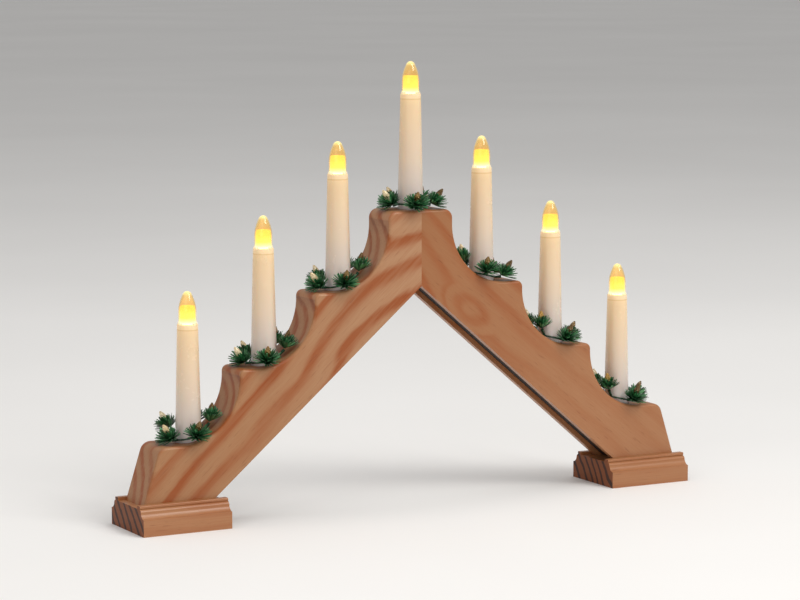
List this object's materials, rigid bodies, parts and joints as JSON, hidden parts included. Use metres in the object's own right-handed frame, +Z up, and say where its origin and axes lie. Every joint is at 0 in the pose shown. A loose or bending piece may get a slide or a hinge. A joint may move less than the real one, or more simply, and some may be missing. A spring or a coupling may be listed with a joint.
{
  "type": "electric candle arch",
  "caption": "Stepped wooden candle arch on two moulded feet, with tapered electric candles, screw-in bullet bulbs and a small pine wreath round each candle.",
  "frame": {"origin": "on the ground under the peak, at the middle of the bounding box", "axes": "+X along the arch to the right, +Y to the back, +Z up"},
  "size_m": [0.4, 0.05, 0.2867],
  "materials": {
    "candle_plastic": "satin white plastic",
    "holder_plastic": "matte white plastic",
    "cap_metal": "bright",
    "insulator": "black insulator",
    "bulb_clear": "clear",
    "bulb_light": "glowing warm yellow",
    "needle_green": "dark green",
    "arm_pine": "clear lacquered pine",
    "foot_pine": "clear lacquered pine",
    "dowel_wood": "plain beech",
    "screw_steel": "zinc plated",
    "cover_board": "dark hardboard",
    "grommet_plastic": "black",
    "contact_brass": "plain",
    "wire_insulation": "white insulation"
  },
  "bodies": {
    "frame": {"candle_sleeve_1": "candle_plastic", "lampholder_1": "holder_plastic", "candle_sleeve_2": "candle_plastic", "lampholder_2": "holder_plastic", "candle_sleeve_3": "candle_plastic", "lampholder_3": "holder_plastic", "candle_sleeve_4": "candle_plastic", "lampholder_4": "holder_plastic", "candle_sleeve_5": "candle_plastic", "lampholder_5": "holder_plastic", "candle_sleeve_6": "candle_plastic", "lampholder_6": "holder_plastic", "candle_sleeve_7": "candle_plastic", "lampholder_7": "holder_plastic", "left_arm": "arm_pine", "right_arm": "arm_pine", "left_foot": "foot_pine", "right_foot": "foot_pine", "mitre_dowels": "dowel_wood", "foot_screws": "screw_steel", "left_cover_strip": "cover_board", "right_cover_strip": "cover_board", "cord_grommet": "grommet_plastic", "socket_contacts": "contact_brass", "wiring": "wire_insulation"},
    "bulb_foot_1": {"bulb_contact_1": "insulator"},
    "bulb_1": {"bulb_lens_1": "bulb_clear", "bulb_core_1": "bulb_light", "bulb_cap_1": "cap_metal"},
    "wreath_body_1": {"wreath_1": "needle_green"},
    "bulb_foot_2": {"bulb_contact_2": "insulator"},
    "bulb_2": {"bulb_lens_2": "bulb_clear", "bulb_core_2": "bulb_light", "bulb_cap_2": "cap_metal"},
    "wreath_body_2": {"wreath_2": "needle_green"},
    "bulb_foot_3": {"bulb_contact_3": "insulator"},
    "bulb_3": {"bulb_lens_3": "bulb_clear", "bulb_core_3": "bulb_light", "bulb_cap_3": "cap_metal"},
    "wreath_body_3": {"wreath_3": "needle_green"},
    "bulb_foot_4": {"bulb_contact_4": "insulator"},
    "bulb_4": {"bulb_lens_4": "bulb_clear", "bulb_core_4": "bulb_light", "bulb_cap_4": "cap_metal"},
    "wreath_body_4": {"wreath_4": "needle_green"},
    "bulb_foot_5": {"bulb_contact_5": "insulator"},
    "bulb_5": {"bulb_lens_5": "bulb_clear", "bulb_core_5": "bulb_light", "bulb_cap_5": "cap_metal"},
    "wreath_body_5": {"wreath_5": "needle_green"},
    "bulb_foot_6": {"bulb_contact_6": "insulator"},
    "bulb_6": {"bulb_lens_6": "bulb_clear", "bulb_core_6": "bulb_light", "bulb_cap_6": "cap_metal"},
    "wreath_body_6": {"wreath_6": "needle_green"},
    "bulb_foot_7": {"bulb_contact_7": "insulator"},
    "bulb_7": {"bulb_lens_7": "bulb_clear", "bulb_core_7": "bulb_light", "bulb_cap_7": "cap_metal"},
    "wreath_body_7": {"wreath_7": "needle_green"}
  },
  "joints": [
    {"name": "bulb_1_rise", "type": "slide", "parent": "frame", "child": "bulb_foot_1", "axis": [0, 0, 1], "range_m": [0, 0.00634]},
    {"name": "bulb_1_turn", "type": "hinge", "parent": "bulb_foot_1", "child": "bulb_1", "pos_m": [-0.1581, 0, 0.1268], "axis": [0, 0, 1], "range_deg": [0, 1260.5]},
    {"name": "wreath_1_lift", "type": "slide", "parent": "frame", "child": "wreath_body_1", "axis": [0, 0, 1], "range_m": [0, 0.095]},
    {"name": "bulb_2_rise", "type": "slide", "parent": "frame", "child": "bulb_foot_2", "axis": [0, 0, 1], "range_m": [0, 0.00634]},
    {"name": "bulb_2_turn", "type": "hinge", "parent": "bulb_foot_2", "child": "bulb_2", "pos_m": [-0.1054, 0, 0.1716], "axis": [0, 0, 1], "range_deg": [0, 1260.5]},
    {"name": "wreath_2_lift", "type": "slide", "parent": "frame", "child": "wreath_body_2", "axis": [0, 0, 1], "range_m": [0, 0.095]},
    {"name": "bulb_3_rise", "type": "slide", "parent": "frame", "child": "bulb_foot_3", "axis": [0, 0, 1], "range_m": [0, 0.00634]},
    {"name": "bulb_3_turn", "type": "hinge", "parent": "bulb_foot_3", "child": "bulb_3", "pos_m": [-0.0527, 0, 0.2164], "axis": [0, 0, 1], "range_deg": [0, 1260.5]},
    {"name": "wreath_3_lift", "type": "slide", "parent": "frame", "child": "wreath_body_3", "axis": [0, 0, 1], "range_m": [0, 0.095]},
    {"name": "bulb_4_rise", "type": "slide", "parent": "frame", "child": "bulb_foot_4", "axis": [0, 0, 1], "range_m": [0, 0.00634]},
    {"name": "bulb_4_turn", "type": "hinge", "parent": "bulb_foot_4", "child": "bulb_4", "pos_m": [0, 0, 0.2659], "axis": [0, 0, 1], "range_deg": [0, 1260.5]},
    {"name": "wreath_4_lift", "type": "slide", "parent": "frame", "child": "wreath_body_4", "axis": [0, 0, 1], "range_m": [0, 0.095]},
    {"name": "bulb_5_rise", "type": "slide", "parent": "frame", "child": "bulb_foot_5", "axis": [0, 0, 1], "range_m": [0, 0.00634]},
    {"name": "bulb_5_turn", "type": "hinge", "parent": "bulb_foot_5", "child": "bulb_5", "pos_m": [0.0527, 0, 0.2164], "axis": [0, 0, 1], "range_deg": [0, 1260.5]},
    {"name": "wreath_5_lift", "type": "slide", "parent": "frame", "child": "wreath_body_5", "axis": [0, 0, 1], "range_m": [0, 0.095]},
    {"name": "bulb_6_rise", "type": "slide", "parent": "frame", "child": "bulb_foot_6", "axis": [0, 0, 1], "range_m": [0, 0.00634]},
    {"name": "bulb_6_turn", "type": "hinge", "parent": "bulb_foot_6", "child": "bulb_6", "pos_m": [0.1054, 0, 0.1716], "axis": [0, 0, 1], "range_deg": [0, 1260.5]},
    {"name": "wreath_6_lift", "type": "slide", "parent": "frame", "child": "wreath_body_6", "axis": [0, 0, 1], "range_m": [0, 0.095]},
    {"name": "bulb_7_rise", "type": "slide", "parent": "frame", "child": "bulb_foot_7", "axis": [0, 0, 1], "range_m": [0, 0.00634]},
    {"name": "bulb_7_turn", "type": "hinge", "parent": "bulb_foot_7", "child": "bulb_7", "pos_m": [0.1581, 0, 0.1268], "axis": [0, 0, 1], "range_deg": [0, 1260.5]},
    {"name": "wreath_7_lift", "type": "slide", "parent": "frame", "child": "wreath_body_7", "axis": [0, 0, 1], "range_m": [0, 0.095]}
  ],
  "couplings": [
    {"joint": "bulb_1_turn", "follows": "bulb_1_rise", "rad_per_m": 3471.4},
    {"joint": "bulb_2_turn", "follows": "bulb_2_rise", "rad_per_m": 3471.4},
    {"joint": "bulb_3_turn", "follows": "bulb_3_rise", "rad_per_m": 3471.4},
    {"joint": "bulb_4_turn", "follows": "bulb_4_rise", "rad_per_m": 3471.4},
    {"joint": "bulb_5_turn", "follows": "bulb_5_rise", "rad_per_m": 3471.4},
    {"joint": "bulb_6_turn", "follows": "bulb_6_rise", "rad_per_m": 3471.4},
    {"joint": "bulb_7_turn", "follows": "bulb_7_rise", "rad_per_m": 3471.4}
  ]
}
